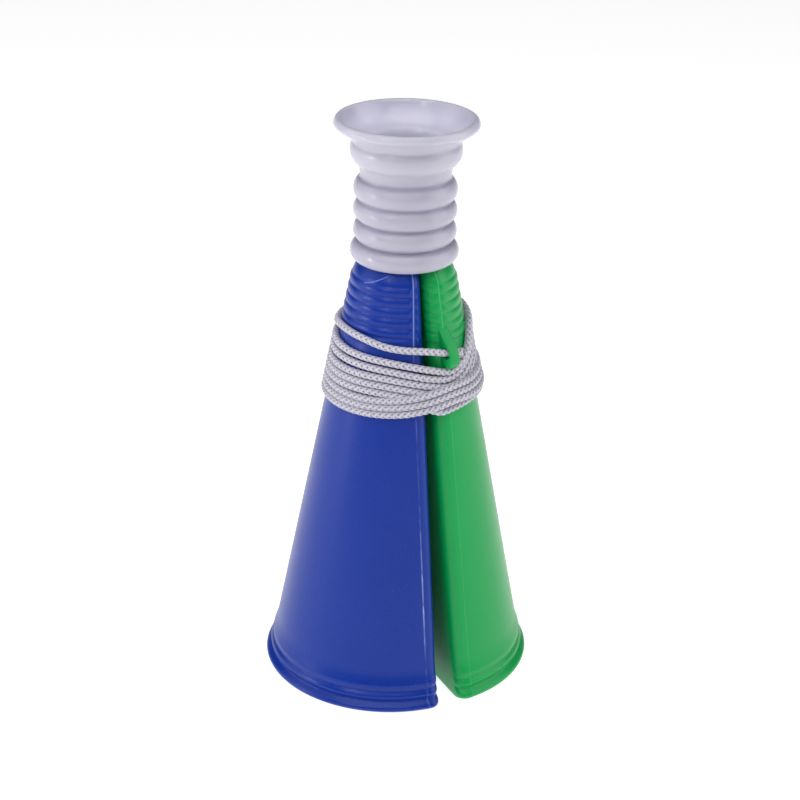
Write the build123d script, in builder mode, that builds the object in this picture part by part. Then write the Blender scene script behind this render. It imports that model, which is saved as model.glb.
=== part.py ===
"""A two-tone cheer horn: two D-section bells side by side, pushed into one corrugated mouthpiece.

Millimetres, +Z up, standing on its bells. The bells' flat backs face each other across the plane
X = 0, the blue one on -X and the green one on +X. A reed plate sits inside the mouthpiece above the
two necks, and a braided lanyard is tied to a lug on the green neck and wound round both.
"""

import os
from math import atan2, cos, degrees, pi, radians, sin, tan

from build123d import *

os.makedirs("parts", exist_ok=True)

# ---------------------------------------------------------------- driving dimensions
total_height = 220.0
wall = 1.5                      # blown wall of a bell

bell_radius = 46.95             # of the cone, at the floor
cone_slope = 0.176              # radius lost per millimetre of height
gap_at_floor = 7.3              # between the two flat backs
back_clearance = 0.4            # from each flat back to X = 0 at the hinge line
hinge_height = 174.0            # the necks rock here, in the mouthpiece's lowest groove
lean_angle = degrees(atan2(gap_at_floor / 2, hinge_height))
shoulder_height = 163.5
spigot_bottom = 169.5
spigot_top = 181.0
spigot_radius = 14.7
body_corner = 4.2               # rounding where the flat back meets the round side
inner_corner = 1.5              # the same inside the wall
collar_top = 13.4
collar_start = 0.8              # degrees from the flat back, where the collar's rings end

grip_rib_heights = [141.4 + 3.73 * i for i in range(6)]
grip_rib_height = 0.4           # how far each rib stands proud
grip_rib_half_width = 1.3
grip_rib_start = 18.0           # degrees from the flat back, where the ribs fade out

lug_azimuth = 13.5              # from the front of the gap, on the green half's parting line
lug_thickness = 4.2
lug_reach = 5.5                 # from the neck's surface to the lug's tip
lug_top = 144.0
lug_tip_height = 136.9
lug_bottom = 131.4
lug_hole_radius = 2.1
lug_hole_height = 136.9
lug_hole_reach = 2.3            # from the neck's surface to the hole's centre
stopper_azimuth = 24.5          # the lanyard's first knot, just behind the lug
stopper_height = 136.0

sleeve_wall = 1.3
sleeve_bottom = 167.0
lip_radius = 18.4
rim_radius = 26.4
groove_radius = 16.8
groove_heights = [174.2, 182.0, 189.8, 198.2]
bead_radius = 19.05
lip_bead_radius = 20.1
band_radius = 17.0              # the straight band above the uppermost groove
band_top = 202.8
top_bead_radius = 20.4
waist_radius = 19.3             # between the top bead and the flared rim
waist_height = 211.6
bore_radius = 16.0              # where the rim's funnel meets the bore
bore_top = 211.0

reed_spacing = 7.8              # from X = 0 to each reed tube's axis
reed_tube_radius = 3.45
reed_tube_bore = 2.3
reed_tube_bottom = 176.0
reed_tube_top = 207.0
reed_flat = 1.9                 # from a reed tube's axis to the flat that its tongue beats on
plate_bottom = 185.3
plate_thickness = 2.6
plate_radius = 17.2
plate_bore = 3.5
collar_thickness = 2.4
tongue_width = 4.2
tongue_thickness = 0.25
tongue_gap = 0.08
tongue_rest_angle = 2.0         # degrees that a tongue stands off its flat

cord_diameter = 2.8
cord_radius = cord_diameter / 2
cord_clearance = 0.35           # from the bells' surface to the cord
winding_bottom = 114.2
winding_top = 139.4
winding_thickness_top = 2.9
winding_thickness_bottom = 4.4
winding_dip_height = 131.0      # the top edge dips under the lug to here
winding_dip_radius = 30.0       # along an arc of this size
knot_radius = 2.2


# ---------------------------------------------------------------- shared shapes
def cone_radius(height):
    """Outside radius of a bell's round side."""
    return bell_radius - cone_slope * height


def back_offset(height):
    """Distance from X = 0 to a bell's flat back, which leans away below the hinge line."""
    return back_clearance + gap_at_floor / 2 * max(0.0, 1 - height / hinge_height)


def radial_plane(azimuth, offset):
    """The upright plane through (offset, 0) at an azimuth measured from -Y towards +X."""
    a = radians(azimuth)
    return Plane(origin=(offset, 0, 0), x_dir=(sin(a), -cos(a), 0), z_dir=(-cos(a), -sin(a), 0))


def facing_plane(azimuth):
    """The upright plane through the origin that faces outwards at an azimuth."""
    a = radians(azimuth)
    return Plane(origin=(0, 0, 0), x_dir=(cos(a), sin(a), 0), z_dir=(sin(a), -cos(a), 0))


# ---------------------------------------------------------------- one bell
def half_turned(outline):
    """Half of a turned solid, on the +X side of its axis: the outline is (radius, height) points."""
    with BuildPart() as half:
        with BuildSketch(radial_plane(0, 0)):
            with BuildLine():
                Polyline(*outline, close=True)
            make_face()
        revolve(axis=Axis.Z, revolution_arc=180)
    return half.part


def long_edges(part):
    """The two long edges where the flat back meets the round side."""
    back = part.faces().sort_by(Axis.X)[0]
    return back.edges().sort_by(Edge.length)[-2:]


def lean(part):
    """Moves a shape from the bell's own frame, where the flat back is X = 0, to its leaning place."""
    placed = part.moved(Location((back_clearance, 0, 0)))
    return placed.rotate(Axis((0, 0, hinge_height), (0, 1, 0)), -lean_angle)


past = 3.0                      # the turned solids start this far under the floor, which cuts them flat
throat_radius = spigot_radius - wall

with BuildPart() as bell_outside:
    add(half_turned([
        (0, -past), (cone_radius(-past), -past), (cone_radius(shoulder_height), shoulder_height),
        (spigot_radius, spigot_bottom), (spigot_radius, spigot_top), (0, spigot_top),
    ]))
    fillet(long_edges(bell_outside.part), body_corner)

with BuildPart() as bell_inside:
    add(half_turned([
        (0, -past), (cone_radius(-past) - wall, -past),
        (cone_radius(shoulder_height) - wall, shoulder_height - wall),
        (throat_radius, spigot_bottom), (throat_radius, spigot_top + past), (0, spigot_top + past),
    ]))
    split(bisect_by=Plane.YZ.offset(wall), keep=Keep.TOP)
    fillet(long_edges(bell_inside.part), inner_corner)


def collar_profile(offset):
    """Two rings and a flange round the bell's mouth, ending at the flat back."""
    with BuildSketch(radial_plane(collar_start, offset)) as profile:
        with BuildLine():
            ThreePointArc((47.1, 0), (48.5, 1.5), (46.4, 4.0))
            ThreePointArc((46.4, 4.0), (46.9, 6.1), (45.7, 8.0))
            ThreePointArc((45.7, 8.0), (46.05, 10.5), (cone_radius(collar_top) - 0.4, collar_top))
            Polyline(
                (cone_radius(collar_top) - 0.4, collar_top), (cone_radius(collar_top) - 0.9, collar_top),
                (cone_radius(0) - 0.9, 0), (47.1, 0),
            )
        make_face()
    return profile.sketch


def grip_rib_profile(height):
    """A low rib round the neck that stops short of the parting lines."""
    low = height - grip_rib_half_width
    high = height + grip_rib_half_width
    foot = 0.15                 # the rib's feet sink this far into the wall
    root = 0.7
    with BuildSketch(radial_plane(grip_rib_start, 0)) as profile:
        with BuildLine():
            low_foot = (cone_radius(low) - foot, low)
            high_foot = (cone_radius(high) - foot, high)
            ThreePointArc(low_foot, (cone_radius(height) + grip_rib_height, height), high_foot)
            Polyline(high_foot, (cone_radius(high) - root, high), (cone_radius(low) - root, low), low_foot)
        make_face()
    return profile.sketch


with BuildPart() as ribbed_bell:
    add(bell_outside.part)
    for rib_height in grip_rib_heights:
        revolve(grip_rib_profile(rib_height), axis=Axis.Z, revolution_arc=180 - 2 * grip_rib_start)

with BuildPart() as plain_bell:
    add(lean(ribbed_bell.part))
    collar_offset = back_offset(collar_top / 2)
    collar_axis = Axis((collar_offset, 0, 0), (0, 0, 1))
    revolve(collar_profile(collar_offset), axis=collar_axis, revolution_arc=180 - 2 * collar_start)
    add(lean(bell_inside.part), mode=Mode.SUBTRACT)
    split(bisect_by=Plane.XY, keep=Keep.TOP)
    split(bisect_by=Plane.YZ.offset(back_clearance), keep=Keep.TOP)


# ---------------------------------------------------------------- blue bell
with BuildPart() as blue_horn:
    add(mirror(plain_bell.part, about=Plane.YZ))
blue_horn.part.label = "blue_horn"
export_step(blue_horn.part, "parts/blue_horn.step")


# ---------------------------------------------------------------- green bell with its lanyard lug
def lug_point(reach, height):
    """A point of the lug's outline, reach being measured out from the neck's surface."""
    return (cone_radius(height) + reach, height)


lug_root = 0.8                  # how far the lug's foot runs into the wall


with BuildPart() as green_horn:
    add(plain_bell.part)
    lug_plane = radial_plane(lug_azimuth, back_offset(lug_hole_height))
    with BuildSketch(lug_plane) as lug_outline:
        with BuildLine():
            top = lug_point(0.4, lug_top)
            tip = lug_point(lug_reach, lug_tip_height)
            heel = lug_point(3.4, lug_bottom)
            ThreePointArc(top, lug_point(3.7, 140.8), tip)
            ThreePointArc(tip, lug_point(5.2, 134.2), heel)
            Polyline(heel, lug_point(-lug_root, lug_bottom), lug_point(-lug_root, lug_top + 0.6), top)
        make_face()
    extrude(amount=lug_thickness / 2, both=True)
    with BuildSketch(lug_plane):
        with Locations(lug_point(lug_hole_reach, lug_hole_height)):
            Circle(lug_hole_radius)
    extrude(amount=lug_thickness, both=True, mode=Mode.SUBTRACT)
green_horn.part.label = "green_horn"
export_step(green_horn.part, "parts/green_horn.step")


# ---------------------------------------------------------------- mouthpiece
def sleeve_chain(inward):
    """One side of the sleeve's wall, from its lip up to the band's top bead, moved in by a distance."""
    def at(radius, height):
        return (radius - inward, height)

    lowest_groove = at(groove_radius, groove_heights[0])
    chain = [ThreePointArc(at(lip_radius, sleeve_bottom), at(lip_bead_radius, 170.3), lowest_groove)]
    for low, high in zip(groove_heights, groove_heights[1:]):
        middle = at(bead_radius, (low + high) / 2)
        chain.append(ThreePointArc(at(groove_radius, low), middle, at(groove_radius, high)))
    chain.append(Line(at(groove_radius, groove_heights[-1]), at(band_radius, band_top)))
    chain.append(ThreePointArc(at(band_radius, band_top), at(19.55, 205.4), at(top_bead_radius, 208.4)))
    return chain


with BuildPart() as mouthpiece:
    with BuildSketch(Plane.XZ):
        with BuildLine():
            sleeve_chain(0)
            ThreePointArc((top_bead_radius, 208.4), (20.15, 210.3), (waist_radius, waist_height))
            ThreePointArc((waist_radius, waist_height), (21.8, 214.2), (25.6, 216.8))
            ThreePointArc((25.6, 216.8), (rim_radius, 217.9), (26.1, 219.0))
            ThreePointArc((26.1, 219.0), (25.5, 219.7), (24.7, total_height))
            ThreePointArc((24.7, total_height), (24.1, 219.8), (23.6, 219.2))
            ThreePointArc((23.6, 219.2), (20.6, 214.6), (bore_radius, bore_top))
            Line((bore_radius, bore_top), (top_bead_radius - sleeve_wall, 208.4))
            sleeve_chain(sleeve_wall)
            Line((lip_radius - sleeve_wall, sleeve_bottom), (lip_radius, sleeve_bottom))
        make_face()
    revolve(axis=Axis.Z)
mouthpiece.part.label = "mouthpiece"
export_step(mouthpiece.part, "parts/mouthpiece.step")


# ---------------------------------------------------------------- reed plate
plate_top = plate_bottom + plate_thickness

with BuildPart() as reed_plate:
    with BuildSketch(Plane.XY.offset(plate_bottom)):
        Circle(plate_radius)
    extrude(amount=plate_thickness)
    chamfer(reed_plate.edges().filter_by(GeomType.CIRCLE), 0.7)
    with BuildSketch(Plane.XY.offset(plate_bottom)):
        with Locations((-reed_spacing, 0), (reed_spacing, 0)):
            Circle(plate_bore)
    extrude(amount=plate_thickness, mode=Mode.SUBTRACT)
reed_plate.part.label = "reed_plate"
export_step(reed_plate.part, "parts/reed_plate.step")


# ---------------------------------------------------------------- reeds, one for each bell
flange_thickness = 1.0
flange_radius = 4.7
tube_cap = 1.0
collar_bottom = plate_top + flange_thickness + 0.4
collar_top_height = collar_bottom + collar_thickness
tongue_hinge_height = collar_bottom + collar_thickness / 2
slot_bottom = collar_top_height + 0.6
slot_width = 2.0
tongue_length_above_hinge = 14.0
collar_clearance = 0.12


def export_reed_tube(name, x):
    """A tube closed at its top, with a flat planed on its front and a slot through the flat."""
    with BuildPart() as reed_tube:
        with BuildSketch(Plane.XY.offset(reed_tube_bottom)):
            with Locations((x, 0)):
                Circle(reed_tube_radius)
        extrude(amount=reed_tube_top - reed_tube_bottom)
        with BuildSketch(Plane.XY.offset(plate_top + flange_thickness)):
            with Locations((x, -reed_flat - reed_tube_radius)):
                Rectangle(4 * reed_tube_radius, 2 * reed_tube_radius)
        extrude(amount=reed_tube_top, mode=Mode.SUBTRACT)
        with BuildSketch(Plane.XY.offset(plate_top)):
            with Locations((x, 0)):
                Circle(flange_radius)
        extrude(amount=flange_thickness)
        with BuildSketch(Plane.XY.offset(reed_tube_bottom)):
            with Locations((x, 0.4)):
                Circle(reed_tube_bore - 0.4)
        extrude(amount=reed_tube_top - tube_cap - reed_tube_bottom, mode=Mode.SUBTRACT)
        with BuildSketch(Plane.XZ.offset(reed_tube_radius)):
            with Locations((x, (slot_bottom + reed_tube_top - tube_cap) / 2)):
                SlotOverall(reed_tube_top - tube_cap - slot_bottom, slot_width, rotation=90)
        extrude(amount=-reed_tube_radius, mode=Mode.SUBTRACT)
    reed_tube.part.label = name
    export_step(reed_tube.part, f"parts/{name}.step")


def export_reed_tongue(name, x):
    """A thin spring strip clamped at its foot, standing a little off the flat at its tip."""
    lean = Plane(origin=(x, -reed_flat - tongue_gap, tongue_hinge_height), x_dir=(1, 0, 0), z_dir=(0, -1, 0))
    with BuildPart() as reed_tongue:
        with BuildSketch(lean.rotated((tongue_rest_angle, 0, 0))):
            with Locations((0, (tongue_length_above_hinge - collar_thickness / 2) / 2)):
                Rectangle(tongue_width, tongue_length_above_hinge + collar_thickness / 2)
        extrude(amount=tongue_thickness)
    reed_tongue.part.label = name
    export_step(reed_tongue.part, f"parts/{name}.step")


def export_reed_collar(name, x):
    """A ring over the tube's foot, with a wedge inside it that holds the tongue's foot."""
    inner = reed_tube_radius + collar_clearance
    wedge_face = reed_flat + tongue_gap + tongue_thickness + collar_clearance
    with BuildPart() as reed_collar:
        with BuildSketch(Plane.XY.offset(collar_bottom)):
            with Locations((x, 0)):
                Circle(inner + 0.9)
                Circle(inner, mode=Mode.SUBTRACT)
        extrude(amount=collar_thickness)
        with BuildSketch(Plane.XY.offset(collar_bottom)):
            with Locations((x, 0)):
                Circle(inner + 0.4)
            with Locations((x, 2 * inner - wedge_face)):
                Rectangle(6 * inner, 4 * inner, mode=Mode.SUBTRACT)
        extrude(amount=collar_thickness)
    reed_collar.part.label = name
    export_step(reed_collar.part, f"parts/{name}.step")


for colour, side in (("blue", -1), ("green", 1)):
    export_reed_tube(f"{colour}_reed_tube", side * reed_spacing)
    export_reed_tongue(f"{colour}_reed_tongue", side * reed_spacing)
    export_reed_collar(f"{colour}_reed_collar", side * reed_spacing)


# ---------------------------------------------------------------- lanyard
def beside_bells(azimuth, height, standoff):
    """A point off both bells' common outline: azimuth from -Y towards +X, in degrees."""
    a = radians(azimuth)
    radius = cone_radius(height) + standoff
    return Vector((radius + back_offset(height)) * sin(a), -radius * cos(a), height)


# the strand starts at the stopper knot behind the lug, goes through the lug's hole, crosses the
# blue neck, passes behind both necks and drops into the winding: (azimuth, height)
strand_stations = [
    (stopper_azimuth, stopper_height), (lug_azimuth, lug_hole_height), (3, 138.3), (-10, 139.1),
    (-25, 139.6), (-42, 140.7), (-60, 142.2), (-78, 143.0), (-97, 142.9), (-116, 142.3), (-135, 142.8),
    (-155, 143.8), (-175, 144.8), (-195, 145.5), (-215, 146.0), (-235, 146.2), (-255, 145.9), (-272, 144.9),
    (-288, 142.8), (-301, 139.8), (-312, 136.4), (-322, 133.3), (-330, 130.9),
]
strand_standoff = cord_radius + cord_clearance + grip_rib_height + 0.45     # over the grip ribs
strand_route = [beside_bells(azimuth, height, strand_standoff) for azimuth, height in strand_stations]


def route_radii(route):
    """The largest tangent arc that each corner's two runs allow."""
    radii = []
    for before, corner, after in zip(route, route[1:], route[2:]):
        run_in = corner - before
        run_out = after - corner
        turn = radians(run_in.get_angle(run_out))
        radii.append(0.45 * min(run_in.length, run_out.length) / tan(turn / 2))
    return radii


with BuildPart() as lanyard_strand:
    with BuildLine() as strand_line:
        FilletPolyline(*strand_route, radius=route_radii(strand_route))
    strand_start = strand_line.wire() ^ 0
    with BuildSketch(Plane(origin=strand_start.position, z_dir=strand_start.z_axis.direction)):
        Circle(cord_radius)
    sweep(transition=Transition.ROUND)
lanyard_strand.part.label = "lanyard_strand"
export_step(lanyard_strand.part, "parts/lanyard_strand.step")

strand_length = strand_line.wire().length
strand_volume = strand_length * pi * cord_radius**2
print("strand radii", [round(radius, 1) for radius in route_radii(strand_route)])
print("strand length", round(strand_length, 1))
print("strand volume ratio", round(lanyard_strand.part.volume / strand_volume, 4))


def winding_outline(height, standoff):
    """The two necks' common outline at a height, moved out by a distance."""
    with BuildSketch(Plane.XY.offset(height)) as outline:
        SlotCenterToCenter(2 * back_offset(height), 2 * (cone_radius(height) + standoff))
    return outline.sketch


with BuildPart() as lanyard_winding:
    bottom_standoff = cord_clearance + winding_thickness_bottom
    top_standoff = cord_clearance + winding_thickness_top
    loft(
        sections=[
            winding_outline(winding_bottom, bottom_standoff),
            winding_outline(winding_top, top_standoff),
        ],
    )
    loft(
        sections=[
            winding_outline(winding_bottom - 1, cord_clearance),
            winding_outline(winding_top + 1, cord_clearance),
        ],
        mode=Mode.SUBTRACT,
    )
    with BuildSketch(facing_plane(lug_azimuth)):
        with Locations((0, winding_dip_height + winding_dip_radius)):
            Circle(winding_dip_radius)
    extrude(amount=60, mode=Mode.SUBTRACT)
lanyard_winding.part.label = "lanyard_winding"
export_step(lanyard_winding.part, "parts/lanyard_winding.step")


with BuildPart() as lanyard_lug_knot:
    with Locations(beside_bells(stopper_azimuth, stopper_height, knot_radius + 3 * cord_clearance)):
        Sphere(knot_radius)
lanyard_lug_knot.part.label = "lanyard_lug_knot"
export_step(lanyard_lug_knot.part, "parts/lanyard_lug_knot.step")
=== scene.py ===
"""The look of a two-tone cheer horn: moulded bells, corrugated mouthpiece, reeds and a braided lanyard."""

from math import acos, asin, atan2, cos, exp, hypot, pi, radians, sin, sqrt

import bmesh
import bpy
from mathutils import Matrix, Vector, noise


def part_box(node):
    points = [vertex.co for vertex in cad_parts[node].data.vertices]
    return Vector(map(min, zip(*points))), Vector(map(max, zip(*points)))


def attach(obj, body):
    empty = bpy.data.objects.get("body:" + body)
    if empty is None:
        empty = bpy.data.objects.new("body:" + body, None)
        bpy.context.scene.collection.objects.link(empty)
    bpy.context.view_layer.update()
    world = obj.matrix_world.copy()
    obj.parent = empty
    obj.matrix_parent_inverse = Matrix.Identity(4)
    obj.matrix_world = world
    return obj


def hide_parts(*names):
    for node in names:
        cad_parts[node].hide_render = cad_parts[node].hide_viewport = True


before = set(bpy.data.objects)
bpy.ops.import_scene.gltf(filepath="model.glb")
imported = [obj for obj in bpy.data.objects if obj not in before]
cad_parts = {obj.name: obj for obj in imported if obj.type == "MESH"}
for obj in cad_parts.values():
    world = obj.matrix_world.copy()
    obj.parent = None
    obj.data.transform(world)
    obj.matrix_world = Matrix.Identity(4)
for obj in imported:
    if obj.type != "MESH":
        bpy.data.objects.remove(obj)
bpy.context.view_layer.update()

MM = 0.001
scene = bpy.context.scene

# ---------------------------------------------------------------- sizes, in millimetres
bell_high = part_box("green_horn")[1]
sleeve_low, sleeve_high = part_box("mouthpiece")
total_height = sleeve_high.z / MM

bell_radius = 46.95
cone_slope = 0.176
wall = 1.5
gap_at_floor = 7.3              # between the flat backs, less the clearance on both sides
back_clearance = 0.4
hinge_height = 174.0
shoulder_height = 163.5
spigot_bottom = 169.5
spigot_top = bell_high.z / MM
spigot_radius = 14.7
corner_at_floor = 4.0
corner_at_neck = 4.7
inner_corner = 1.5
parting_distance = 5.4          # of the parting lines from the flat back
parting_azimuth = radians(13.5)     # where the neck is too narrow for that distance
grip_rib_heights = [141.4 + 3.73 * i for i in range(6)]
grip_rib_height = 0.5
grip_rib_half_width = 1.6

cord_diameter = 2.8
cord_radius = cord_diameter / 2


def cone_radius(height):
    return bell_radius - cone_slope * height


def back_offset(height):
    return back_clearance + gap_at_floor / 2 * max(0.0, 1 - height / hinge_height)


# ---------------------------------------------------------------- helpers
def smooth_step(low, high, value):
    """0 at low and 1 at high, which may be the smaller, with no corners."""
    t = min(max((value - low) / (high - low), 0.0), 1.0)
    return t * t * (3 - 2 * t)


def interpolate(stations, x):
    """A smooth curve through (x, y) stations, flat past both ends."""
    if x <= stations[0][0]:
        return stations[0][1]
    for (x0, y0), (x1, y1) in zip(stations, stations[1:]):
        if x <= x1:
            return y0 + (y1 - y0) * smooth_step(x0, x1, x)
    return stations[-1][1]


def catmull(stations, x):
    """A rounder curve through (x, y) stations, for outlines."""
    if x <= stations[0][0]:
        return stations[0][1]
    if x >= stations[-1][0]:
        return stations[-1][1]
    i = max(k for k in range(len(stations) - 1) if stations[k][0] <= x)
    before = stations[max(i - 1, 0)]
    (x0, y0), (x1, y1) = stations[i], stations[i + 1]
    after = stations[min(i + 2, len(stations) - 1)]
    slope0 = (y1 - before[1]) / (x1 - before[0])
    slope1 = (after[1] - y0) / (after[0] - x0)
    span = x1 - x0
    t = (x - x0) / span
    return (
        y0 * (2 * t**3 - 3 * t**2 + 1) + slope0 * span * (t**3 - 2 * t**2 + t)
        + y1 * (3 * t**2 - 2 * t**3) + slope1 * span * (t**3 - t**2)
    )


def steps(low, high, step):
    """Evenly spaced values from low up to, not including, high."""
    count = max(1, round((high - low) / step))
    return [low + (high - low) * i / count for i in range(count)]


def mesh_object(name, points, faces, smooth=True):
    """A piece from points in millimetres."""
    mesh = bpy.data.meshes.new(name)
    mesh.from_pydata([Vector(p) * MM for p in points], [], faces)
    mesh.validate()
    mesh.update()
    bm = bmesh.new()
    bm.from_mesh(mesh)
    bmesh.ops.recalc_face_normals(bm, faces=bm.faces)
    bm.to_mesh(mesh)
    bm.free()
    if smooth:
        mesh.polygons.foreach_set("use_smooth", [True] * len(mesh.polygons))
    piece = bpy.data.objects.new(name, mesh)
    scene.collection.objects.link(piece)
    return piece


def ring_faces(rings, around, closed_rings=False):
    """Quads between rings of points, each ring closed; closed_rings joins the last ring to the first."""
    faces = []
    pairs = [(i, i + 1) for i in range(rings - 1)]
    if closed_rings:
        pairs.append((rings - 1, 0))
    for a, b in pairs:
        for j in range(around):
            k = (j + 1) % around
            faces.append((a * around + j, a * around + k, b * around + k, b * around + j))
    return faces


# ---------------------------------------------------------------- materials
class Nodes:
    """A short way to write a node tree."""

    def __init__(self, name):
        self.material = bpy.data.materials.new(name)
        self.material.use_nodes = True
        self.tree = self.material.node_tree
        self.shader = self.tree.nodes["Principled BSDF"]

    def add(self, kind, inputs=(), **settings):
        node = self.tree.nodes.new(kind)
        for key, value in settings.items():
            setattr(node, key, value)
        for key, value in dict(inputs).items():
            self.feed(node.inputs[key], value)
        return node

    def feed(self, socket, value):
        if isinstance(value, bpy.types.NodeSocket):
            self.tree.links.new(value, socket)
        else:
            socket.default_value = value

    def noise(self, scale, detail=3.0, roughness=0.5, distortion=0.0):
        place = self.add("ShaderNodeTexCoord").outputs["Object"]
        node = self.add(
            "ShaderNodeTexNoise",
            {
                "Vector": place, "Scale": scale, "Detail": detail, "Roughness": roughness,
                "Distortion": distortion,
            },
        )
        return node.outputs["Fac"]

    def ramp(self, value, low, high, at_low, at_high):
        node = self.add("ShaderNodeMapRange", {"Value": value, "From Min": low, "From Max": high})
        node.inputs["To Min"].default_value = at_low
        node.inputs["To Max"].default_value = at_high
        return node.outputs["Result"]

    def mix(self, factor, a, b):
        node = self.add("ShaderNodeMix", data_type="RGBA")
        self.feed(node.inputs["Factor"], factor)
        self.feed(node.inputs["A"], a)
        self.feed(node.inputs["B"], b)
        return node.outputs["Result"]

    def math(self, operation, a, b=0.0):
        node = self.add("ShaderNodeMath", operation=operation)
        self.feed(node.inputs[0], a)
        self.feed(node.inputs[1], b)
        return node.outputs[0]

    def attribute(self, name):
        return self.add("ShaderNodeAttribute", attribute_name=name).outputs["Fac"]

    def bump(self, layers, strength=1.0):
        """Bump from (height socket, depth in metres) layers."""
        normal = None
        for height, depth in layers:
            node = self.add("ShaderNodeBump", {"Height": height, "Strength": strength, "Distance": depth})
            if normal is not None:
                self.feed(node.inputs["Normal"], normal)
            normal = node.outputs["Normal"]
        self.feed(self.shader.inputs["Normal"], normal)


def rgb(red, green, blue):
    """A linear colour from 0 to 255 screen values."""
    def linear(value):
        return ((value / 255 + 0.055) / 1.055) ** 2.4 if value > 10 else value / 255 / 12.92

    return linear(red), linear(green), linear(blue), 1.0


def moulded_plastic(name, colour, pale, dark, roughness):
    """Blow-moulded polyethylene: faint mottling, fine orange peel, specks, a paler parting line, and a
    painted highlight along the foot's bottom edge.
    """
    n = Nodes(name)
    cloud = n.noise(35.0, 4.0, 0.6)
    grain = n.noise(900.0, 2.0, 0.5)
    specks = n.noise(2600.0, 1.0, 0.5)
    body = n.mix(n.ramp(cloud, 0.35, 0.7, 0.0, 0.35), colour, dark)
    body = n.mix(n.ramp(specks, 0.7, 0.8, 0.0, 0.2), body, pale)
    body = n.mix(n.math("MULTIPLY", n.attribute("seam"), 0.75), body, pale)
    # painted highlight: the bottom edge of the foot is made paler, as if it caught the light
    body = n.mix(n.attribute("painted_foot_highlight"), body, pale)
    n.feed(n.shader.inputs["Base Color"], body)
    n.feed(n.shader.inputs["Roughness"], n.ramp(cloud, 0.3, 0.7, roughness - 0.03, roughness + 0.04))
    n.shader.inputs["Specular IOR Level"].default_value = 0.3
    n.bump([(cloud, 0.0002), (grain, 0.00004)], 0.5)
    return n.material


def white_plastic(name):
    """Soft glossy white polyethylene with a cool tint, with painted light that makes the funnel lighter,
    painted shade in the grooves, and darker beads below the band.
    """
    n = Nodes(name)
    cloud = n.noise(30.0, 3.0, 0.55)
    grain = n.noise(700.0, 2.0, 0.5)
    body = n.mix(n.ramp(cloud, 0.3, 0.7, 0.0, 1.0), rgb(190, 188, 203), rgb(195, 193, 206))
    # painted light: the funnel and bore are made lighter, standing in for light coming through the thin wall
    body = n.mix(n.attribute("inside"), body, rgb(208, 206, 224))
    # painted shade in the outer grooves, plus darker beads below the band
    body = n.mix(n.attribute("groove_shade_and_bead_darkening"), body, rgb(148, 142, 170))
    n.feed(n.shader.inputs["Base Color"], body)
    n.feed(n.shader.inputs["Roughness"], n.ramp(cloud, 0.3, 0.7, 0.2, 0.27))
    n.shader.inputs["Subsurface Weight"].default_value = 0.45
    n.shader.inputs["Subsurface Radius"].default_value = (0.9, 0.9, 1.0)
    n.shader.inputs["Subsurface Scale"].default_value = 0.004
    n.bump([(cloud, 0.0005), (grain, 0.00003)], 0.4)
    return n.material


def reed_plastic(name, colour, other):
    n = Nodes(name)
    cloud = n.noise(260.0, 3.0, 0.6)
    n.feed(n.shader.inputs["Base Color"], n.mix(n.ramp(cloud, 0.35, 0.65, 0.0, 1.0), colour, other))
    n.feed(n.shader.inputs["Roughness"], n.ramp(cloud, 0.3, 0.7, 0.3, 0.45))
    n.bump([(cloud, 0.00008)], 0.5)
    return n.material


def brass(name):
    n = Nodes(name)
    rolled = n.noise(1500.0, 2.0, 0.4, 0.3)
    body = n.mix(n.ramp(rolled, 0.3, 0.7, 0.0, 1.0), rgb(214, 178, 98), rgb(186, 146, 74))
    n.feed(n.shader.inputs["Base Color"], body)
    n.shader.inputs["Metallic"].default_value = 1.0
    n.feed(n.shader.inputs["Roughness"], n.ramp(rolled, 0.3, 0.7, 0.22, 0.4))
    n.bump([(rolled, 0.00002)], 0.5)
    return n.material


def braid_yarn(name):
    """White polyester yarn: fibres along each strand, with painted shade in the furrows between strands and
    where a strand dips under another.
    """
    n = Nodes(name)
    uv = n.add("ShaderNodeUVMap", uv_map="yarn").outputs["UV"]
    stretched = n.add("ShaderNodeMapping", {"Vector": uv, "Scale": (1.0, 22.0, 1.0)}).outputs["Vector"]
    fibres = n.add("ShaderNodeTexNoise", {"Vector": stretched, "Scale": 2.0, "Detail": 3.0}).outputs["Fac"]
    cloud = n.noise(90.0, 3.0, 0.6)
    body = n.mix(n.ramp(fibres, 0.35, 0.7, 0.0, 0.5), rgb(222, 219, 231), rgb(193, 190, 205))
    # painted shade: darker in the furrows between strands and where a strand dips under
    body = n.mix(n.math("MULTIPLY", n.attribute("painted_furrow_shade"), 0.85), body, rgb(104, 100, 122))
    body = n.mix(n.ramp(cloud, 0.5, 0.8, 0.0, 0.2), body, rgb(178, 176, 186))
    n.feed(n.shader.inputs["Base Color"], body)
    n.feed(n.shader.inputs["Roughness"], n.ramp(fibres, 0.3, 0.7, 0.5, 0.7))
    n.shader.inputs["Sheen Weight"].default_value = 0.25
    n.shader.inputs["Sheen Roughness"].default_value = 0.4
    n.bump([(fibres, 0.00012)], 0.6)
    return n.material


# pale blue for the parting-line flash and specks, also used for the painted highlight on the foot
flash_and_highlight_blue = rgb(150, 170, 232)
blue_plastic = moulded_plastic("blue_plastic", rgb(2, 48, 150), flash_and_highlight_blue, rgb(1, 44, 143), 0.3)
blue_flash = moulded_plastic("blue_flash", rgb(96, 122, 206), flash_and_highlight_blue, rgb(70, 100, 196), 0.25)
green_plastic = moulded_plastic("green_plastic", rgb(7, 162, 80), rgb(124, 214, 152), rgb(3, 156, 75), 0.3)
mouthpiece_plastic = white_plastic("mouthpiece_plastic")
plate_plastic = reed_plastic("plate_plastic", rgb(225, 222, 212), rgb(208, 204, 192))
collar_plastic = reed_plastic("collar_plastic", rgb(176, 36, 32), rgb(150, 26, 26))
tongue_brass = brass("tongue_brass")
lanyard_yarn = braid_yarn("lanyard_yarn")


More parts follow.
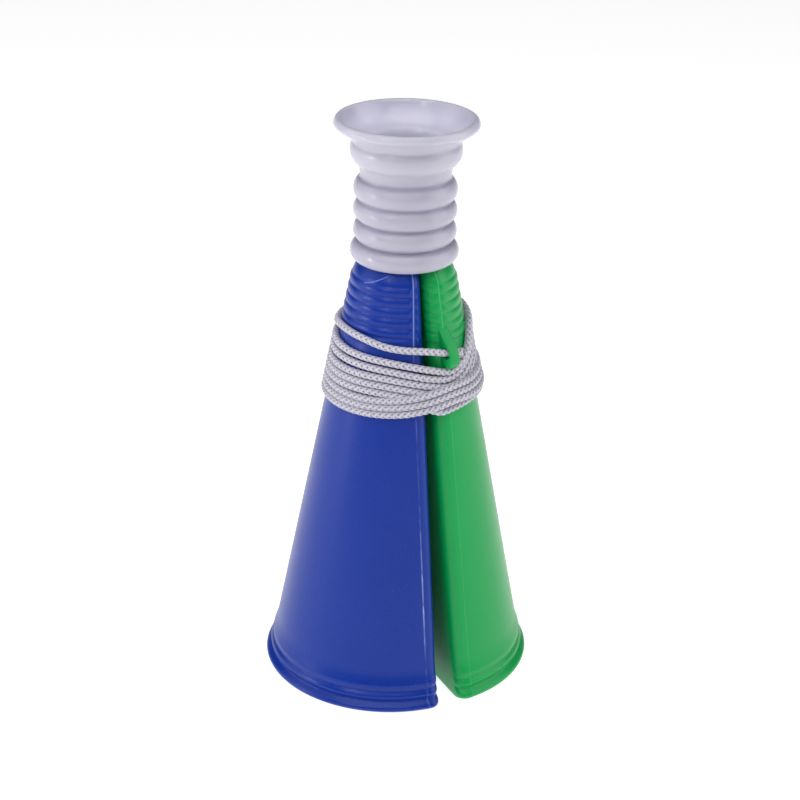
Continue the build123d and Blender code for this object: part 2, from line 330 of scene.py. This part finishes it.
# ---------------------------------------------------------------- bells
collar_outline = [
    (0.0, 47.1), (0.4, 47.9), (1.3, 48.5), (2.4, 48.3), (3.4, 47.1), (4.0, 46.35),
    (4.6, 46.4), (5.4, 46.7), (6.3, 46.8), (7.2, 46.3), (7.9, 45.7), (8.5, 45.65),
    (9.4, 45.85), (10.4, 45.8), (11.6, 45.4), (12.8, 45.0), (14.2, cone_radius(14.2) + 0.12),
    (16.0, cone_radius(16.0)),
]
collar_height = collar_outline[-1][0]


def plain_radius(height):
    """Outside radius without the grip ribs."""
    if height < collar_height:
        return catmull(collar_outline, height)
    shoulder = [
        (shoulder_height - 3, cone_radius(shoulder_height - 3)),
        (shoulder_height, cone_radius(shoulder_height) - 0.3),
        (spigot_bottom, spigot_radius), (spigot_top, spigot_radius),
    ]
    if height > shoulder[0][0]:
        return catmull(shoulder, height)
    return cone_radius(height)


def rib_rise(colour, height, past_parting):
    """Height of the grip ribs: on green they cross the parting line, on blue a small blob lies past it."""
    rise = 0.0
    for rib in grip_rib_heights:
        t = (height - rib) / grip_rib_half_width
        if abs(t) < 1:
            rise = max(rise, grip_rib_height * (1 - t * t) ** 0.75)
    full = smooth_step(0.4, 1.8, past_parting)
    if colour == "green":
        past = 0.6 * smooth_step(-0.4, -1.2, past_parting)
    else:
        past = 0.8 * exp(-(((past_parting + 1.6) / 0.5) ** 2))
    return rise * max(full, past)


def d_ring(colour, height, inset=0.0):
    """One level of a bell: (x, y, seam mask) round its D section, starting in the middle of the flat back."""
    outside = inset == 0.0
    radius = plain_radius(height) - inset
    centre_x = back_offset(height)
    corner = corner_at_floor + (corner_at_neck - corner_at_floor) * height / spigot_top
    if not outside:
        corner = inner_corner
    corner_reach = corner + inset
    centre_y = sqrt((radius - corner) ** 2 - corner_reach**2)
    corner_angle = asin(corner_reach / (radius - corner))
    corner_length = corner * (pi / 2 + corner_angle)
    full_length = corner_length + radius * (pi / 2 - corner_angle)
    parting_x = min(parting_distance, radius * sin(parting_azimuth))
    if outside and parting_x < radius * sin(corner_angle):
        parting = corner * acos(1 - parting_x / corner)
    else:
        parting = corner_length + radius * (asin(parting_x / radius) - corner_angle)

    near = [-2.3, -2.0, -1.7, -1.4, -1.1, -0.7, -0.35, -0.17, 0.0, 0.17, 0.35, 0.7, 1.1, 1.6, 2.2, 2.8]
    distances = [(parting + near[0]) * i / 10 for i in range(10)]
    distances += [parting + d for d in near]
    last = distances[-1]
    distances += [last + (full_length - last) * (i + 1) / 30 for i in range(30)]
    half = [(centre_x + inset, -centre_y * i / 9, 0.0) for i in range(9)]
    for distance in distances:
        past_parting = distance - parting
        ridge = exp(-((past_parting / 0.2) ** 2)) if outside else 0.0
        rise = 0.12 * ridge + rib_rise(colour, height, past_parting) if outside else 0.0
        if distance < corner_length:
            a = distance / corner
            reach = corner + rise
            half.append((centre_x + corner_reach - reach * cos(a), -centre_y - reach * sin(a), ridge))
        else:
            a = corner_angle + (distance - corner_length) / radius
            half.append((centre_x + (radius + rise) * sin(a), -(radius + rise) * cos(a), ridge))
    mirrored = [(x, -y, seam) for x, y, seam in reversed(half[1:-1])]
    return half + mirrored


def seam_strength(colour, point):
    """How white the parting line is: broken low on the blue bell, clean on its neck, faint on green."""
    broken = 0.5 + noise.noise(Vector(point) * 0.4)
    on_neck = smooth_step(130, 145, point[2])
    if colour == "green":
        return 0.15 * broken + 0.3 * on_neck
    flash = smooth_step(20, 30, point[2]) * smooth_step(78, 66, point[2])
    return max(on_neck, 1.7 * flash * broken, 0.35 * broken)


def bell(colour):
    """A closed shell: outside upwards, inside downwards."""
    side = -1 if colour == "blue" else 1
    outside_levels = (
        steps(0, 17, 0.25) + steps(17, 139, 2.5) + steps(139, 162.4, 0.2) + steps(162.4, 171, 0.5)
        + steps(171, spigot_top, 3) + [spigot_top]
    )
    inside_levels = [spigot_top] + [h for h in reversed(steps(0, spigot_top, 5))]
    points = []
    seams = []
    for level in outside_levels:
        for x, y, seam in d_ring(colour, level):
            points.append((side * x, y, level))
            seams.append(seam)
    around = len(points) // len(outside_levels)
    for level in inside_levels:
        for x, y, seam in d_ring(colour, level, wall):
            points.append((side * x, y, level))
            seams.append(0.0)
    rings = len(outside_levels) + len(inside_levels)
    piece = mesh_object(f"{colour}_bell_shell", points, ring_faces(rings, around, closed_rings=True))
    seam = piece.data.attributes.new("seam", "FLOAT", "POINT")
    painted_foot_highlight = piece.data.attributes.new("painted_foot_highlight", "FLOAT", "POINT")
    for i, (point, value) in enumerate(zip(points, seams)):
        seam.data[i].value = value * seam_strength(colour, point)
        # painted highlight, paler towards the bottom edge of the foot
        edge = smooth_step(1.2, 0.2, point[2]) if point[2] < 1.2 else 0.0
        painted_foot_highlight.data[i].value = 0.25 * edge
    return piece


blue_shell = bell("blue")
blue_shell.data.materials.append(blue_plastic)
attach(blue_shell, "blue_bell")
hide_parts("blue_horn")

green_shell = bell("green")
green_shell.data.materials.append(green_plastic)
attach(green_shell, "green_bell")
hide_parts("green_horn")


# ---------------------------------------------------------------- moulding mark on the blue neck
def moulding_mark():
    """A thin raised crescent above the grip ribs."""
    stations = [
        (-84, 161.2), (-78, 161.1), (-71, 161.5), (-65, 162.2), (-59, 163.0), (-53, 163.9), (-48, 164.7),
        (-44, 165.4),
    ]
    curve = bpy.data.curves.new("blue_neck_mark", "CURVE")
    curve.dimensions = "3D"
    curve.bevel_depth = 0.3 * MM
    curve.bevel_resolution = 3
    curve.use_fill_caps = True
    line = curve.splines.new("NURBS")
    line.points.add(len(stations) - 1)
    for i, (point, (azimuth, height)) in enumerate(zip(line.points, stations)):
        a = radians(azimuth)
        radius = plain_radius(height)
        point.co = ((radius * sin(a) - back_offset(height)) * MM, -radius * cos(a) * MM, height * MM, 1)
        point.radius = 0.35 + 0.65 * sin(pi * (i + 0.5) / len(stations))
    line.order_u = 3
    line.use_endpoint_u = True
    line.resolution_u = 12
    mark = bpy.data.objects.new("blue_neck_mark", curve)
    scene.collection.objects.link(mark)
    return mark


neck_mark = moulding_mark()
neck_mark.data.materials.append(blue_flash)
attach(neck_mark, "blue_bell")


# ---------------------------------------------------------------- lanyard lug
lug_azimuth = 13.5
lug_thickness = 4.2
lug_hole_height = 136.9
lug_hole_reach = 2.3
lug_hole_radius = 2.1
lug_edge = 0.4


def radial_matrix(azimuth, offset):
    """Puts (reach, height, across) upright at an azimuth from -Y towards +X."""
    a = radians(azimuth)
    out = Vector((sin(a), -cos(a), 0))
    across = Vector((-cos(a), -sin(a), 0))
    matrix = Matrix.Identity(4)
    for row in range(3):
        matrix[row][0] = out[row]
        matrix[row][1] = (0, 0, 1)[row]
        matrix[row][2] = across[row]
        matrix[row][3] = (offset * MM, 0, 0)[row]
    return matrix


def lug_plate():
    """A fin with a flat foot and a round hole, its edges rounded."""
    outline = [
        (-0.8, 145.2), (0.0, 144.4), (1.7, 142.4), (3.3, 140.6), (4.7, 138.3), (5.3, 135.9), (5.0, 133.2),
        (3.6, 131.7), (1.5, 131.7), (-0.8, 131.7),
    ]
    curve = bpy.data.curves.new("lug_outline", "CURVE")
    curve.dimensions = "2D"
    curve.fill_mode = "BOTH"
    curve.extrude = (lug_thickness / 2 - lug_edge) * MM
    curve.bevel_depth = lug_edge * MM
    curve.bevel_resolution = 3
    edge = curve.splines.new("POLY")
    rounded = [rounded_point(outline, i / 60) for i in range(60)]
    edge.points.add(len(rounded) - 1)
    for point, (reach, height) in zip(edge.points, rounded):
        point.co = ((cone_radius(height) + reach) * MM, height * MM, 0, 1)
    edge.use_cyclic_u = True
    hole = curve.splines.new("POLY")
    hole.points.add(23)
    centre = cone_radius(lug_hole_height) + lug_hole_reach
    for i, point in enumerate(hole.points):
        a = -2 * pi * i / 24
        radius = lug_hole_radius + lug_edge
        point.co = ((centre + radius * cos(a)) * MM, (lug_hole_height + radius * sin(a)) * MM, 0, 1)
    hole.use_cyclic_u = True
    flat = bpy.data.objects.new("lug_outline", curve)
    scene.collection.objects.link(flat)
    bpy.context.view_layer.update()
    mesh = bpy.data.meshes.new_from_object(flat.evaluated_get(bpy.context.evaluated_depsgraph_get()))
    bpy.data.objects.remove(flat)
    mesh.transform(radial_matrix(lug_azimuth, back_offset(lug_hole_height)))
    bm = bmesh.new()
    bm.from_mesh(mesh)
    bmesh.ops.remove_doubles(bm, verts=bm.verts, dist=1e-6)
    bmesh.ops.recalc_face_normals(bm, faces=bm.faces)
    bm.to_mesh(mesh)
    bm.free()
    mesh.name = "lanyard_lug"
    piece = bpy.data.objects.new("lanyard_lug", mesh)
    scene.collection.objects.link(piece)
    return piece


def rounded_point(outline, t):
    """A point on a closed quadratic B-spline round the outline, so its corners come out rounded."""
    count = len(outline)
    position = t * count
    i = int(position) % count
    u = position - int(position)
    a, b, c = outline[i - 1], outline[i], outline[(i + 1) % count]
    wa, wb, wc = (1 - u) ** 2 / 2, 0.5 + u * (1 - u), u * u / 2
    return tuple(wa * a[k] + wb * b[k] + wc * c[k] for k in range(2))


lug = lug_plate()
lug.data.materials.clear()
lug.data.materials.append(green_plastic)
# both masks stay at zero on the lug: no pale parting line, no painted highlight
for name in ("seam", "painted_foot_highlight"):
    lug.data.attributes.new(name, "FLOAT", "POINT")
lug.data.polygons.foreach_set("use_smooth", [True] * len(lug.data.polygons))
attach(lug, "green_bell")


# ---------------------------------------------------------------- mouthpiece
sleeve_wall = 1.3
sleeve_bottom = sleeve_low.z / MM
rim_radius = sleeve_high.x / MM
band_radius = 17.0
grooves = [(16.9, 174.2), (16.75, 182.0), (16.95, 189.8), (16.6, 198.2)]    # (radius, height)
bead_radius = 19.03


def arc_points(start, middle, end, count):
    """Points along the arc through three (radius, height) points, without its end."""
    (ax, ay), (bx, by), (cx, cy) = start, middle, end
    d = 2 * (ax * (by - cy) + bx * (cy - ay) + cx * (ay - by))
    ux = ((ax**2 + ay**2) * (by - cy) + (bx**2 + by**2) * (cy - ay) + (cx**2 + cy**2) * (ay - by)) / d
    uy = ((ax**2 + ay**2) * (cx - bx) + (bx**2 + by**2) * (ax - cx) + (cx**2 + cy**2) * (bx - ax)) / d
    radius = hypot(ax - ux, ay - uy)
    first = atan2(ay - uy, ax - ux)
    turn_middle = (atan2(by - uy, bx - ux) - first) % (2 * pi)
    turn_end = (atan2(cy - uy, cx - ux) - first) % (2 * pi)
    if turn_middle > turn_end:
        turn_end -= 2 * pi
    return [
        (ux + radius * cos(first + turn_end * i / count), uy + radius * sin(first + turn_end * i / count))
        for i in range(count)
    ]


def sleeve_side(inward, count):
    """One side of the sleeve from its lip up to its band."""
    def at(radius, height):
        return (radius - inward, height)

    line = arc_points(at(18.4, sleeve_bottom), at(20.1, 170.4), at(*grooves[0]), count)
    for low, high in zip(grooves, grooves[1:]):
        line += arc_points(at(*low), at(bead_radius, (low[1] + high[1]) / 2), at(*high), count)
    top_radius, top_groove = grooves[-1]
    rising = steps(top_groove, 202.8, 0.4)
    line += [at(top_radius + (band_radius - top_radius) * i / 12, h) for i, h in enumerate(rising)]
    return line


def softened(line, rounds):
    """The same line with its sharp corners eased."""
    for _ in range(rounds):
        line = [line[0]] + [
            tuple(0.25 * a[k] + 0.5 * b[k] + 0.25 * c[k] for k in range(2))
            for a, b, c in zip(line, line[1:], line[2:])
        ] + [line[-1]]
    return line


def mouthpiece_outline():
    """(radius, height) points: up the outside, over the rolled rim, down the funnel and the bore."""
    outer = sleeve_side(0.0, 22)
    outer += arc_points((band_radius, 202.8), (19.75, 205.5), (20.4, 208.5), 16)
    outer += arc_points((20.4, 208.5), (20.15, 210.2), (19.3, 211.6), 8)
    outer += arc_points((19.3, 211.6), (22.4, 214.5), (26.0, 217.0), 16)
    rim = arc_points((26.0, 217.0), (rim_radius, 217.95), (26.1, 218.9), 8)
    rim += arc_points((26.1, 218.9), (25.6, 219.7), (24.8, total_height), 8)
    rim += arc_points((24.8, total_height), (24.2, 219.85), (23.6, 219.2), 8)
    inner = arc_points((23.6, 219.2), (20.6, 214.4), (16.2, 210.6), 24)
    inner += [(15.9, h) for h in (209.8, 208.0, 206.0, 204.0)]
    inner += [p for p in reversed(sleeve_side(sleeve_wall, 14))]
    return softened(outer + rim, 2) + softened(inner, 2)


# painted shade: how much darker the outer grooves are made
painted_groove_shade = 0.45
bead_darkening = 0.25           # darker on the beads, fading out below the band


def in_funnel(radius, height):
    """Whether a point is on the inside: in the bore, or above the middle of the funnel's wall."""
    return radius < 16.5 or height > 212.3 + 0.85 * (radius - 19.3)


def mouthpiece_shell():
    outline = mouthpiece_outline()
    around = 192
    points = []
    for radius, height in outline:
        for j in range(around):
            a = 2 * pi * j / around
            sag = 0.05 * noise.noise(Vector((cos(a) * 1.6, sin(a) * 1.6, height * 0.12)))
            points.append(((radius + sag) * cos(a), (radius + sag) * sin(a), height))
    piece = mesh_object("mouthpiece_shell", points, ring_faces(len(outline), around, closed_rings=True))
    groove_shade_and_bead_darkening = piece.data.attributes.new("groove_shade_and_bead_darkening", "FLOAT", "POINT")
    inside = piece.data.attributes.new("inside", "FLOAT", "POINT")
    for i, (x, y, z) in enumerate(points):
        radius = hypot(x, y)
        nearest = min(abs(z - height) for _, height in grooves)
        in_groove = smooth_step(1.5, 0.2, nearest) * (1 if radius > band_radius - 0.6 else 0)
        below_band_darkening = bead_darkening * smooth_step(204, 198, z) if radius > 16.5 else 0.0
        # painted groove shade plus the darker beads below the band
        groove_shade_and_bead_darkening.data[i].value = painted_groove_shade * in_groove + below_band_darkening
        # painted light mask for the funnel and bore
        inside.data[i].value = smooth_step(27.5, 21.0, radius) if in_funnel(radius, z) else 0.0
    return piece


mouthpiece = mouthpiece_shell()
mouthpiece.data.materials.append(mouthpiece_plastic)
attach(mouthpiece, "mouthpiece")
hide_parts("mouthpiece")


# ---------------------------------------------------------------- reeds
def dress(node, material):
    """A CAD node keeps its shape and gets a finished material."""
    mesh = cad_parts[node].data
    mesh.materials.clear()
    mesh.materials.append(material)


dress("reed_plate", plate_plastic)
for colour in ("blue", "green"):
    dress(f"{colour}_reed_tube", plate_plastic)
    dress(f"{colour}_reed_collar", collar_plastic)
    dress(f"{colour}_reed_tongue", tongue_brass)


# ---------------------------------------------------------------- lanyard
# the route from the stopper knot through the lug and once round both necks: (azimuth, height)
strand_stations = [
    (24.5, 136.0), (13.5, 136.9), (3, 138.2), (-10, 139.1), (-25, 139.6), (-42, 140.5), (-60, 142.2),
    (-78, 143.0), (-97, 143.2), (-115, 142.1), (-133, 141.8), (-152, 142.6), (-172, 143.9), (-192, 145.2),
    (-212, 145.9), (-232, 146.2), (-252, 146.1), (-270, 145.6), (-285, 144.6), (-297, 143.0), (-305, 140.9),
    (-311, 138.0), (-318, 134.9), (-327, 132.4), (-337, 130.5),
]

# each turn of the winding, from the dip under the lug leftwards round the back: heights of the
# centreline at the azimuths below, then how far it lies above the first layer at each
turn_azimuths = [15, -8, -35, -100, -190, -285, -320]
turns = [
    ([129.0, 132.2, 134.8, 136.4, 139.4, 141.0, 131.6], [0, 0, 0, 0, 0, 0, 0]),
    ([126.3, 128.9, 131.7, 133.0, 136.0, 137.4, 128.6], [0, 0, 0, 0, 0, 0, 0]),
    ([123.6, 126.1, 128.8, 129.2, 132.4, 133.8, 125.7], [0, 0, 0, 0, 0, 0, 0]),
    ([120.9, 123.3, 126.0, 126.3, 129.0, 130.4, 122.8], [0, 0, 0, 0, 0, 0, 0]),
    ([118.3, 120.7, 123.3, 123.6, 126.0, 127.2, 124.6], [0, 0, 0, 0, 0, 0.5, 1.9]),
    ([124.8, 122.9, 120.7, 120.9, 122.8, 123.8, 121.6], [1.9, 1.8, 0.2, 0, 0, 0.6, 1.9]),
    ([122.0, 120.1, 118.2, 118.2, 119.8, 120.4, 118.6], [1.9, 1.8, 0.3, 0, 0, 1.0, 1.9]),
    ([119.4, 117.4, 115.6, 115.6, 117.0, 117.0, 116.6], [1.9, 1.6, 0.2, 0, 0, 0.7, 0.6]),
]
tail_stations = [(-345, 115.6), (-352, 115.2), (-358, 115.6), (-364, 117.0)]
points_per_turn = 20


def beside_bells(azimuth, height, standoff):
    a = radians(azimuth)
    radius = cone_radius(height) + standoff
    return Vector(((radius + back_offset(height)) * sin(a), -radius * cos(a), height))


def snug_standoff(azimuth):
    """The cord is pulled tight round the blue neck and lies a little looser round the green one."""
    green_side = 0.5 + 0.5 * sin(radians(azimuth - 5))
    return cord_radius + 0.35 * green_side


def winding_stations():
    """(azimuth, height, lift) of every turn's points, worked out round the bells."""
    azimuths = []
    heights = []
    lifts = []
    for k, (turn_heights, turn_lifts) in enumerate(turns):
        azimuths += [a - 360 * k for a in turn_azimuths]
        heights += turn_heights
        lifts += turn_lifts
    azimuths.append(turn_azimuths[0] - 360 * len(turns))
    heights.append(tail_stations[0][1])
    lifts.append(0)
    by_height = list(zip([-a for a in azimuths], heights))
    by_lift = list(zip([-a for a in azimuths], lifts))
    stations = []
    count = len(turns) * points_per_turn
    for i in range(count):
        travelled = -turn_azimuths[0] + 360 * i / points_per_turn
        stations.append((-travelled, catmull(by_height, travelled), interpolate(by_lift, travelled)))
    return stations


def lug_lift(azimuth):
    """The strand stands further off the neck where it goes through the lug's hole."""
    return 0.75 * smooth_step(-8, 8, azimuth)


def lanyard_route():
    over_ribs = 0.3
    route = [beside_bells(a, h, snug_standoff(a) + over_ribs + lug_lift(a)) for a, h in strand_stations]
    winding = [beside_bells(a, h, snug_standoff(a) + lift) for a, h, lift in winding_stations()]
    tail = [beside_bells(a, h, snug_standoff(a)) for a, h in tail_stations[1:]]
    return route + winding + tail


def spline_curve(name, route):
    """A NURBS line with the route's points as its control points."""
    curve = bpy.data.curves.new(name, "CURVE")
    curve.dimensions = "3D"
    spline = curve.splines.new("NURBS")
    spline.points.add(len(route) - 1)
    for point, place in zip(spline.points, route):
        point.co = (*(place * MM), 1)
    spline.order_u = 3
    spline.use_endpoint_u = True
    spline.resolution_u = 16
    return bpy.data.objects.new(name, curve)


def line_points(line):
    """The points that a curve without bevel runs through, in metres."""
    scene.collection.objects.link(line)
    bpy.context.view_layer.update()
    mesh = bpy.data.meshes.new_from_object(line.evaluated_get(bpy.context.evaluated_depsgraph_get()))
    points = [v.co.copy() for v in mesh.vertices]
    bpy.data.meshes.remove(mesh)
    bpy.data.objects.remove(line)
    return points


def evenly(points, step):
    """The same line as points an even step apart."""
    out = [points[0].copy()]
    left = step
    for a, b in zip(points, points[1:]):
        length = (b - a).length
        done = 0.0
        while length - done >= left:
            done += left
            out.append(a.lerp(b, done / length))
            left = step
        left -= length - done
    return out


def carried_frames(points):
    """A pair of sideways directions at each point, carried along without twist."""
    tangents = [(b - a).normalized() for a, b in zip(points, points[1:])]
    tangents.append(tangents[-1].copy())
    side = tangents[0].orthogonal().normalized()
    frames = []
    for tangent in tangents:
        side = (side - tangent * side.dot(tangent)).normalized()
        frames.append((tangent, side, tangent.cross(side)))
    return frames


strands = 8
lay_length = 9.0                # one strand's full turn round the cord
strand_half_width = 0.62
strand_half_height = 0.37
braid_radius = 1.03
weave_depth = 0.14


def braid(name, points, radius_scale=1.0):
    """Strands that run both ways round the line, two over and two under, as one mesh."""
    frames = carried_frames(points)
    step = (points[1] - points[0]).length / MM
    cross = 7
    verts = []
    faces = []
    uvs = []
    furrow_shades = []
    for strand in range(strands):
        way = 1 if strand % 2 == 0 else -1
        slot = strand // 2
        phase = 2 * pi * slot / (strands / 2) + (0 if way > 0 else pi / 4)
        first = len(verts)
        places = []
        for i, (point, (tangent, side, up)) in enumerate(zip(points, frames)):
            travelled = i * step
            angle = way * 2 * pi * travelled / lay_length + phase
            weave = sin(2 * (2 * pi * travelled / lay_length) + way * slot * pi + (0 if way > 0 else pi))
            radius = (braid_radius + weave_depth * weave) * radius_scale
            out = side * cos(angle) + up * sin(angle)
            places.append((point + out * radius * MM, out, weave, travelled))
        for i, (place, out, weave, travelled) in enumerate(places):
            before = places[max(i - 1, 0)][0]
            after = places[min(i + 1, len(places) - 1)][0]
            along = (after - before).normalized()
            across = along.cross(out).normalized()
            rise = across.cross(along)
            for j in range(cross):
                a = 2 * pi * j / cross
                section = across * cos(a) * strand_half_width + rise * sin(a) * strand_half_height
                spot = place + section * radius_scale * MM
                verts.append(spot / MM)
                uvs.append((travelled * 0.5, j / cross))
                # painted shade mask: darkest at a strand's edges and where it dips under another
                edge = abs(cos(a)) ** 3
                furrow_shades.append(min(1.0, 0.75 * edge + 0.35 * (0.5 - 0.5 * weave)))
        faces += [tuple(first + v for v in f) for f in ring_faces(len(places), cross)]
        faces.append(tuple(first + j for j in range(cross)))
        faces.append(tuple(first + (len(places) - 1) * cross + j for j in range(cross)))
    piece = mesh_object(name, verts, faces)
    layer = piece.data.uv_layers.new(name="yarn")
    for loop in piece.data.loops:
        layer.data[loop.index].uv = uvs[loop.vertex_index]
    painted_furrow_shade = piece.data.attributes.new("painted_furrow_shade", "FLOAT", "POINT")
    for i, value in enumerate(furrow_shades):
        painted_furrow_shade.data[i].value = value
    piece.data.materials.append(lanyard_yarn)
    return piece


braid_step = 0.62
lanyard_line = evenly(line_points(spline_curve("lanyard_line", lanyard_route())), braid_step * MM)
lanyard = braid("lanyard", lanyard_line)


def knot_route():
    """A small overhand knot's line round its centre."""
    centre = (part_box("lanyard_lug_knot")[0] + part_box("lanyard_lug_knot")[1]) / 2 / MM
    out = Vector((centre.x, centre.y, 0)).normalized()
    side = Vector((0, 0, 1)).cross(out)
    route = []
    for i in range(40):
        t = 2 * pi * i / 39 * 0.97
        a = 0.62 * (sin(t) + 2 * sin(2 * t))
        b = 0.62 * (cos(t) - 2 * cos(2 * t))
        c = -1.0 * sin(3 * t)
        route.append(centre + side * a * 0.75 + Vector((0, 0, 1)) * b * 0.75 + out * c * 0.55)
    return route


knot_line = evenly(line_points(spline_curve("knot_line", knot_route())), braid_step * MM)
stopper_knot = braid("lanyard_stopper_knot", knot_line, 0.62)
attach(stopper_knot, "green_bell")
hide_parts("lanyard_lug_knot")

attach(lanyard, "green_bell")
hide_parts("lanyard_strand", "lanyard_winding")


# ---------------------------------------------------------------- stage
view_azimuth = radians(26.7)        # the camera looks this far round from +Y towards +X
camera_distance = 0.6411
camera_height = 0.4044
aim_height = 0.1091
shift_right = -0.00043          # of the camera and its aim together
shift_up = -0.00028
camera_roll = radians(1.2)
to_right = Vector((cos(view_azimuth), -sin(view_azimuth), 0))
away = Vector((sin(view_azimuth), cos(view_azimuth), 0))


def look_at(thing, place, target, roll=0.0):
    direction = target - place
    turned = direction.to_track_quat("-Z", "Y").to_matrix().to_4x4()
    thing.matrix_world = Matrix.Translation(place) @ turned @ Matrix.Rotation(roll, 4, "Z")


camera_data = bpy.data.cameras.new("camera")
camera_data.sensor_width = 36
camera_data.lens = 83.25
camera_data.clip_start = 0.01
camera = bpy.data.objects.new("camera", camera_data)
scene.collection.objects.link(camera)
shift = to_right * shift_right + Vector((0, 0, shift_up))
camera_place = -away * camera_distance + Vector((0, 0, camera_height))
look_at(camera, camera_place + shift, Vector((0, 0, aim_height)) + shift, camera_roll)
scene.camera = camera


def softbox(name, right, near, up, size, power, target_height=0.11):
    """A square lamp placed by its distance to the camera's right, towards the camera, and up."""
    data = bpy.data.lights.new(name, "AREA")
    data.shape = "RECTANGLE"
    data.size, data.size_y = size
    data.energy = power
    lamp = bpy.data.objects.new(name, data)
    scene.collection.objects.link(lamp)
    look_at(lamp, to_right * right - away * near + Vector((0, 0, up)), Vector((0, 0, target_height)))
    return lamp


softbox("right_side", 0.95, 0.05, 0.55, (0.8, 1.0), 4.8)
softbox("left_side", -0.95, 0.05, 0.55, (0.8, 1.0), 3.2)
softbox("front_strip", -0.5, 0.75, 0.75, (0.09, 0.3), 1.2)
softbox("front_wide", 0.0, 0.95, 0.62, (1.1, 0.16), 1.0)
softbox("left_low", -0.85, 0.25, 0.2, (0.12, 0.24), 1.1)
softbox("top", -0.1, 0.45, 1.2, (1.3, 0.9), 7.4)


world_front = 0.26
world_back = 1.2
world_top = 0.5


def studio_world():
    """Bright behind and above the horn, dark on the side it is seen from."""
    world = bpy.data.worlds.new("studio")
    world.use_nodes = True
    tree = world.node_tree
    background = tree.nodes["Background"]
    direction = tree.nodes.new("ShaderNodeTexCoord").outputs["Generated"]

    def share(axis, low, high, at_low, at_high):
        along = tree.nodes.new("ShaderNodeVectorMath")
        along.operation = "DOT_PRODUCT"
        tree.links.new(direction, along.inputs[0])
        along.inputs[1].default_value = axis
        spread = tree.nodes.new("ShaderNodeMapRange")
        spread.interpolation_type = "SMOOTHSTEP"
        tree.links.new(along.outputs["Value"], spread.inputs["Value"])
        for socket, value in (("From Min", low), ("From Max", high), ("To Min", at_low), ("To Max", at_high)):
            spread.inputs[socket].default_value = value
        return spread.outputs["Result"]

    total = tree.nodes.new("ShaderNodeMath")
    total.operation = "ADD"
    tree.links.new(share(away, -0.5, 0.8, world_front, world_back), total.inputs[0])
    tree.links.new(share((0, 0, 1), 0.5, 1.0, 0.0, world_top), total.inputs[1])
    tree.links.new(total.outputs["Value"], background.inputs["Strength"])
    return world


scene.world = studio_world()
scene.view_settings.view_transform = "Standard"

floor_mesh = bpy.data.meshes.new("floor")
reach = 30.0
floor_corners = [(-reach, -reach, 0), (reach, -reach, 0), (reach, reach, 0), (-reach, reach, 0)]
floor_mesh.from_pydata(floor_corners, [], [(0, 1, 2, 3)])
floor = bpy.data.objects.new("floor", floor_mesh)
scene.collection.objects.link(floor)
floor_paint = Nodes("floor_paint")
floor_paint.feed(
    floor_paint.shader.inputs["Base Color"],
    floor_paint.mix(floor_paint.noise(3.0), (0.5, 0.5, 0.5, 1), (0.52, 0.52, 0.52, 1)),
)
floor_paint.shader.inputs["Roughness"].default_value = 0.9
floor_paint.shader.inputs["Emission Color"].default_value = (1.0, 1.0, 1.0, 1.0)
floor_paint.shader.inputs["Emission Strength"].default_value = 0.85      # lit through, like a light table
floor_mesh.materials.append(floor_paint.material)
